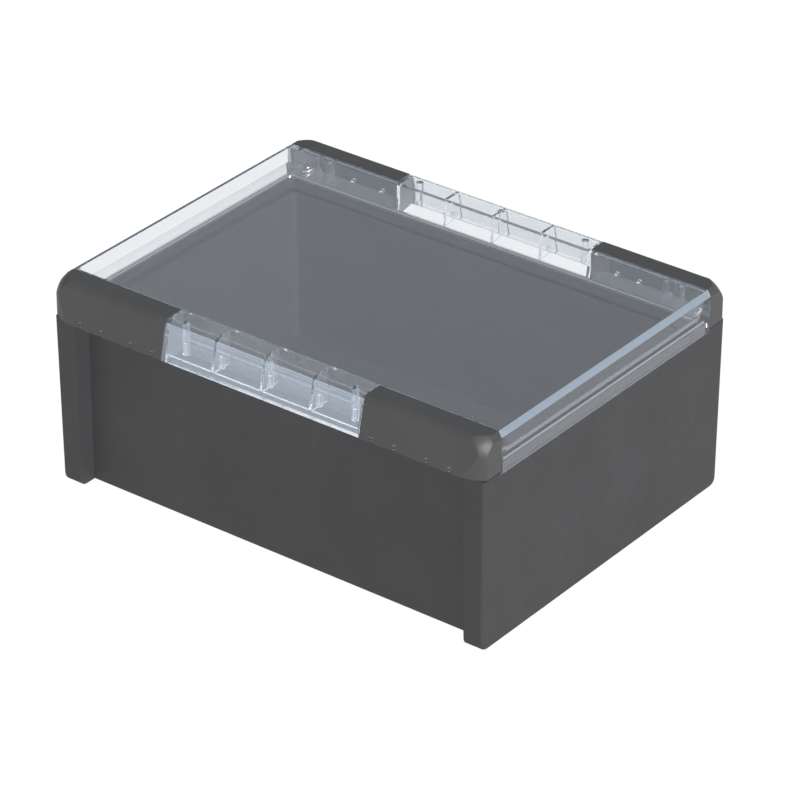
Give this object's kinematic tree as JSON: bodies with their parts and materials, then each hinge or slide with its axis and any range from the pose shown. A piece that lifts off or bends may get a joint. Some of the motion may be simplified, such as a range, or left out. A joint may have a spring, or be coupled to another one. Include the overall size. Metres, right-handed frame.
{
  "type": "moulded plastic housing",
  "caption": "Deep rectangular wall-mount electronics housing with a clear screwed lid and dark fold-down corner trim covers.",
  "frame": {"origin": "middle of the underside that lies against the wall", "axes": "+Z from the underside towards the clear lid, +X along the long side, +Y towards the back long side"},
  "size_m": [0.341, 0.265, 0.15],
  "materials": {
    "base_plastic": "fine mould grain",
    "trim_plastic": "satin",
    "clear_plastic": "polished clear polycarbonate",
    "seal_foam": "soft foamed seal",
    "screw_steel": "stainless",
    "insert_brass": "turned brass"
  },
  "bodies": {
    "base": {"base_shell": "base_plastic", "insert_front_right": "insert_brass", "insert_front_left": "insert_brass", "insert_back_right": "insert_brass", "insert_back_left": "insert_brass"},
    "lid": {"lid": "clear_plastic", "lid_seal": "seal_foam"},
    "trim_front_right": {"trim_front_right": "trim_plastic"},
    "trim_front_left": {"trim_front_left": "trim_plastic"},
    "trim_back_right": {"trim_back_right": "trim_plastic"},
    "trim_back_left": {"trim_back_left": "trim_plastic"},
    "lid_screw_front_right": {"lid_screw_front_right": "screw_steel"},
    "lid_screw_front_left": {"lid_screw_front_left": "screw_steel"},
    "lid_screw_back_right": {"lid_screw_back_right": "screw_steel"},
    "lid_screw_back_left": {"lid_screw_back_left": "screw_steel"}
  },
  "joints": [
    {"name": "lid_lift", "type": "slide", "parent": "base", "child": "lid", "axis": [0, 0, 1], "range_m": [0, 0.06]},
    {"name": "trim_front_right_fold", "type": "hinge", "parent": "lid", "child": "trim_front_right", "pos_m": [0.12455, -0.1303, 0.1248], "axis": [1, 0, 0], "range_deg": [0, 90]},
    {"name": "trim_front_left_fold", "type": "hinge", "parent": "lid", "child": "trim_front_left", "pos_m": [-0.12455, -0.1303, 0.1248], "axis": [1, 0, 0], "range_deg": [0, 90]},
    {"name": "trim_back_right_fold", "type": "hinge", "parent": "lid", "child": "trim_back_right", "pos_m": [0.12455, 0.1303, 0.1248], "axis": [-1, 0, 0], "range_deg": [0, 90]},
    {"name": "trim_back_left_fold", "type": "hinge", "parent": "lid", "child": "trim_back_left", "pos_m": [-0.12455, 0.1303, 0.1248], "axis": [-1, 0, 0], "range_deg": [0, 90]},
    {"name": "lid_screw_front_right_turn", "type": "hinge", "parent": "lid", "child": "lid_screw_front_right", "pos_m": [0.1584, -0.1158, 0.126], "axis": [0, 0, 1], "continuous": true},
    {"name": "lid_screw_front_left_turn", "type": "hinge", "parent": "lid", "child": "lid_screw_front_left", "pos_m": [-0.1584, -0.1158, 0.126], "axis": [0, 0, 1], "continuous": true},
    {"name": "lid_screw_back_right_turn", "type": "hinge", "parent": "lid", "child": "lid_screw_back_right", "pos_m": [0.1584, 0.1158, 0.126], "axis": [0, 0, 1], "continuous": true},
    {"name": "lid_screw_back_left_turn", "type": "hinge", "parent": "lid", "child": "lid_screw_back_left", "pos_m": [-0.1584, 0.1158, 0.126], "axis": [0, 0, 1], "continuous": true}
  ]
}
